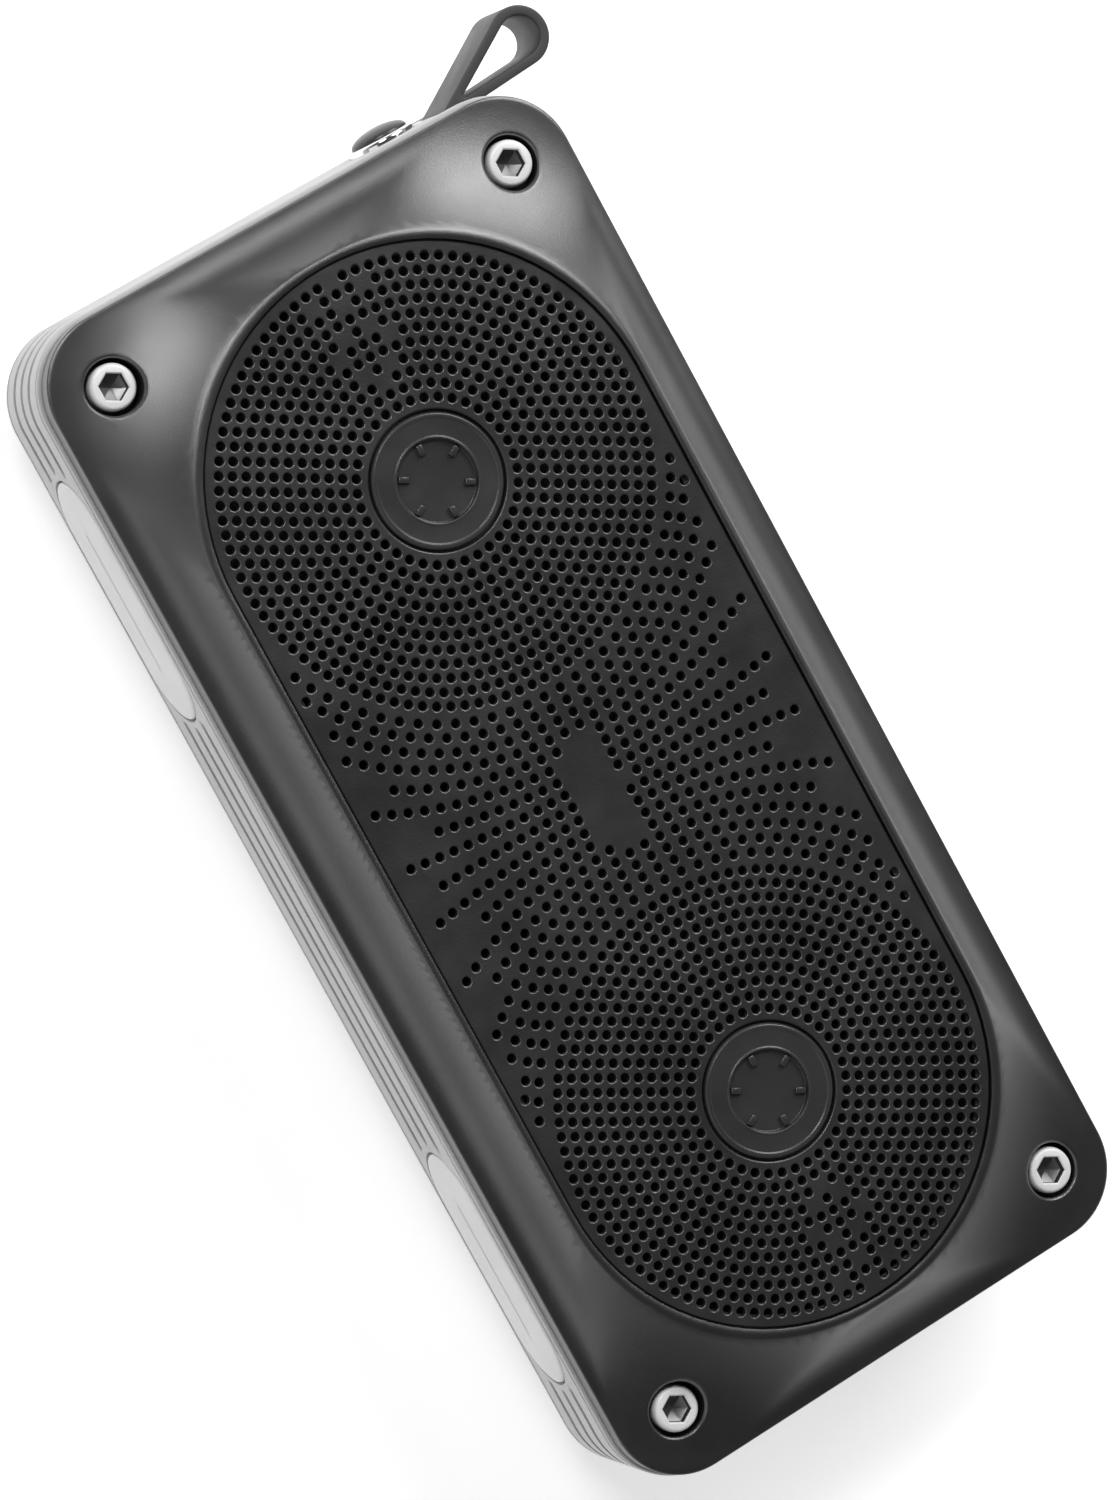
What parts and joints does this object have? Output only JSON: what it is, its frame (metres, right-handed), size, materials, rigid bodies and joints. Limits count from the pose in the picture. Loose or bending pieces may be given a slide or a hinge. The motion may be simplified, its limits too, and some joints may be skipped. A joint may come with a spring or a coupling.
{
  "type": "shower speaker",
  "caption": "Water-resistant portable shower speaker: crowned rectangular front with a round-ended perforated grille, ribbed soft sides, oval keys, push button and carry loop.",
  "frame": {"origin": "centre of the flat rear face that the speaker lies on", "axes": "+X right seen from the front, +Y along the length towards the strap end, +Z out of the front"},
  "size_m": [0.083, 0.1724, 0.0352],
  "materials": {
    "bezel_paint": "satin grey paint with a fine grain",
    "grille_paint": "matt black powder coat",
    "cap_plastic": "satin black plastic",
    "membrane": "black water-shedding mesh",
    "seal_rubber": "black rubber",
    "screw_steel": "bright plated steel",
    "insert_brass": "machined",
    "band_silicone": "light grey satin silicone",
    "frame_plastic": "moulded black plastic",
    "cover_plastic": "moulded dark grey plastic, fine grain",
    "zinc_steel": "zinc plated",
    "radiator_plastic": "black plastic",
    "radiator_rubber": "black rubber",
    "cell_sleeve": "shrink sleeve",
    "board": "green solder mask",
    "chip": "black moulded packages",
    "button_rubber": "dark satin plastic",
    "ring_chrome": "polished",
    "switch_body": "black plastic",
    "switch_stem": "pale plastic",
    "lens": "frosted light pipe",
    "led": "white LED package",
    "key_silicone": "light grey smooth silicone",
    "socket_steel": "plated steel shell",
    "jack_plastic": "black plastic",
    "strap_rubber": "dark satin rubber",
    "pin_steel": "stainless",
    "basket_steel": "black painted steel",
    "core_steel": "zinc plated steel",
    "ferrite": "sintered ferrite",
    "coil_copper": "enamelled copper on a former",
    "cone_paper": "coated paper",
    "surround_rubber": "black rubber",
    "spider_cloth": "treated cloth"
  },
  "bodies": {
    "case": {"aux_jack": "jack_plastic", "baffle_plate": "frame_plastic", "battery_pack": "cell_sleeve", "bezel_seal": "seal_rubber", "board_components": "chip", "board_screws": "zinc_steel", "case_screws": "screw_steel", "driver_gaskets": "seal_rubber", "driver_screws": "zinc_steel", "front_bezel": "bezel_paint", "front_grille": "grille_paint", "grille_cap_lower": "cap_plastic", "grille_cap_upper": "cap_plastic", "inner_frame": "frame_plastic", "key_boards": "board", "led_lens": "lens", "lower_basket": "basket_steel", "lower_front_plate": "core_steel", "lower_magnet": "ferrite", "lower_spider": "spider_cloth", "lower_surround": "surround_rubber", "lower_yoke": "core_steel", "main_board": "board", "port_board": "board", "power_board": "board", "power_button_ring": "ring_chrome", "power_switch": "switch_body", "radiator_frame": "radiator_plastic", "radiator_surround": "radiator_rubber", "rear_cover": "cover_plastic", "rear_screws": "zinc_steel", "screw_inserts": "insert_brass", "side_band": "band_silicone", "splash_membrane": "membrane", "status_led": "led", "strap_bracket": "pin_steel", "strap_pin": "pin_steel", "upper_basket": "basket_steel", "upper_front_plate": "core_steel", "upper_magnet": "ferrite", "upper_spider": "spider_cloth", "upper_surround": "surround_rubber", "upper_yoke": "core_steel", "usb_socket": "socket_steel", "volume_switches": "switch_body"},
    "power_button_body": {"power_button": "button_rubber", "power_switch_plunger": "switch_stem"},
    "volume_up_body": {"volume_up_key": "key_silicone", "volume_up_plunger": "switch_stem"},
    "volume_down_body": {"volume_down_key": "key_silicone", "volume_down_plunger": "switch_stem"},
    "port_cover_body": {"port_cover": "key_silicone"},
    "strap": {"carry_strap": "strap_rubber"},
    "upper_diaphragm": {"upper_cone": "cone_paper", "upper_dust_cap": "cone_paper", "upper_voice_coil": "coil_copper"},
    "lower_diaphragm": {"lower_cone": "cone_paper", "lower_dust_cap": "cone_paper", "lower_voice_coil": "coil_copper"},
    "passive_radiator": {"radiator_plate": "radiator_plastic"}
  },
  "joints": [
    {"name": "power_button_press", "type": "slide", "parent": "case", "child": "power_button_body", "axis": [0, -1, 0], "range_m": [0, 0.0008], "stiffness_N_per_m": 600},
    {"name": "volume_up_press", "type": "slide", "parent": "case", "child": "volume_up_body", "axis": [1, 0, 0], "range_m": [0, 0.0007], "stiffness_N_per_m": 600},
    {"name": "volume_down_press", "type": "slide", "parent": "case", "child": "volume_down_body", "axis": [1, 0, 0], "range_m": [0, 0.0007], "stiffness_N_per_m": 600},
    {"name": "port_cover_hinge", "type": "hinge", "parent": "case", "child": "port_cover_body", "pos_m": [0.0383, 0.03155, 0.0174], "axis": [0, 0, -1], "range_deg": [0, 105], "stiffness_Nm_per_rad": 0.004},
    {"name": "strap_swing", "type": "hinge", "parent": "case", "child": "strap", "pos_m": [0.0284, 0.081, 0.0174], "axis": [0, 0, 1], "range_deg": [0, 60], "stiffness_Nm_per_rad": 0.004},
    {"name": "upper_cone_travel", "type": "slide", "parent": "case", "child": "upper_diaphragm", "axis": [0, 0, 1], "range_m": [-0.001, 0.001], "stiffness_N_per_m": 1200, "deforming": ["upper_surround", "upper_spider"]},
    {"name": "lower_cone_travel", "type": "slide", "parent": "case", "child": "lower_diaphragm", "axis": [0, 0, 1], "range_m": [-0.001, 0.001], "stiffness_N_per_m": 1200, "deforming": ["lower_surround", "lower_spider"]},
    {"name": "radiator_travel", "type": "slide", "parent": "case", "child": "passive_radiator", "axis": [0, 0, 1], "range_m": [-0.001, 0.001], "stiffness_N_per_m": 1500, "deforming": ["radiator_surround"]}
  ]
}
